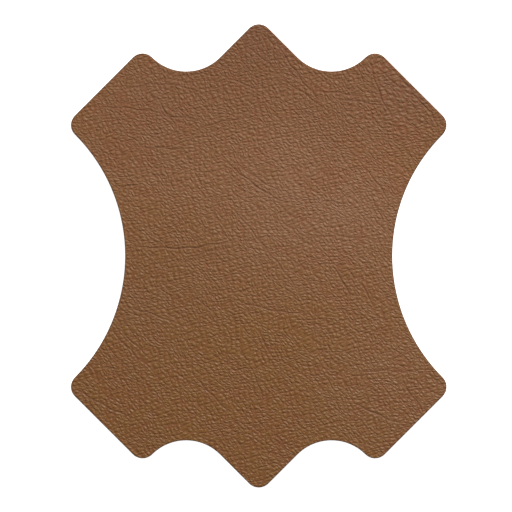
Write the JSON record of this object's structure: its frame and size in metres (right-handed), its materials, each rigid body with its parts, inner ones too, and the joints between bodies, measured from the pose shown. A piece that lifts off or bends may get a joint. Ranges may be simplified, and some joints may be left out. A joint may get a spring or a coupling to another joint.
{
  "type": "hide-shaped piece of leather",
  "caption": "Flat piece of brown grained leather, cut to the outline of a whole hide with rounded tips, concave flanks and scooped notches.",
  "frame": {"origin": "middle of the flesh side, on the surface that the piece lies on", "axes": "+Z out of the grain side, +Y to the neck tip along the longest line of the hide shape, +X across to the right-hand leg tips as seen from the grain side"},
  "size_m": [0.094, 0.116, 0.0014],
  "materials": {
    "leather": "satin"
  },
  "bodies": {
    "root": {"leather_piece": "leather"}
  },
  "joints": []
}
